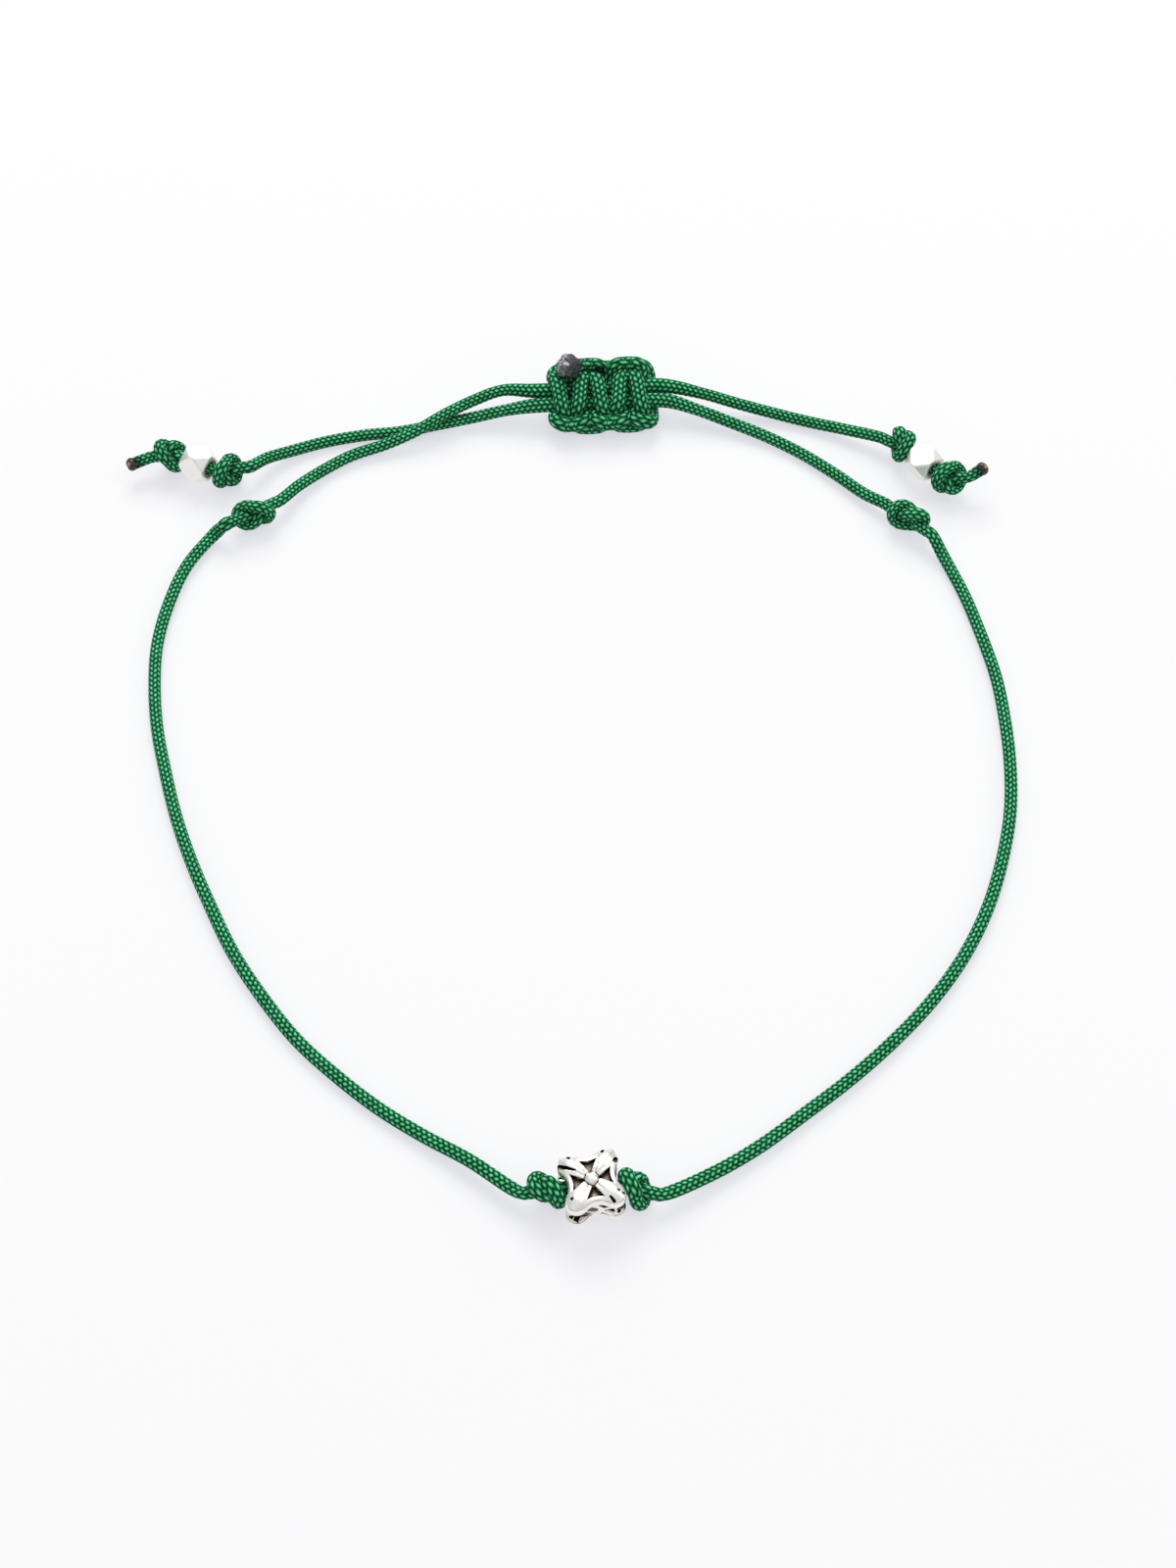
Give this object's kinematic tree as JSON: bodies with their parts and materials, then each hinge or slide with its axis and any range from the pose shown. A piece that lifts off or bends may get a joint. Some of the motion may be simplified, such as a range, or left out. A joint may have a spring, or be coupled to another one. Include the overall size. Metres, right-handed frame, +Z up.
{
  "type": "adjustable cord bracelet",
  "caption": "Thin braided cord bracelet with a four-petal metal bead held between knots, beaded loose ends and a sliding knot that makes the loop larger or smaller.",
  "frame": {"origin": "middle of the whole bracelet's outline, on the surface that it lies on", "axes": "+Z up from that surface, +Y from the charm bead towards the sliding knot, +X towards the tail that ends in the raised tip"},
  "size_m": [0.0717, 0.0767, 0.0054],
  "materials": {
    "braided_cord": "braided nylon with a soft sheen",
    "silver": "polished, darkened in the recesses",
    "melted_tip": "melted nylon, glossy",
    "burnt_end": "melted nylon, rough"
  },
  "bodies": {
    "root": {"band_cord_left": "braided_cord", "band_cord_right": "braided_cord", "closing_cord_left": "braided_cord", "closing_cord_right": "braided_cord", "charm_bead": "silver", "charm_knot_left": "braided_cord", "charm_knot_right": "braided_cord", "stop_knot_left": "braided_cord", "stop_knot_right": "braided_cord", "sliding_knot": "braided_cord", "burnt_end_upper": "burnt_end", "burnt_end_lower": "burnt_end", "tail_knot_inner_left": "braided_cord", "tail_bead_left": "silver", "tail_knot_outer_left": "braided_cord", "tail_tip_left": "melted_tip", "tail_knot_inner_right": "braided_cord", "tail_bead_right": "silver", "tail_knot_outer_right": "braided_cord", "tail_tip_right": "melted_tip"}
  },
  "joints": []
}
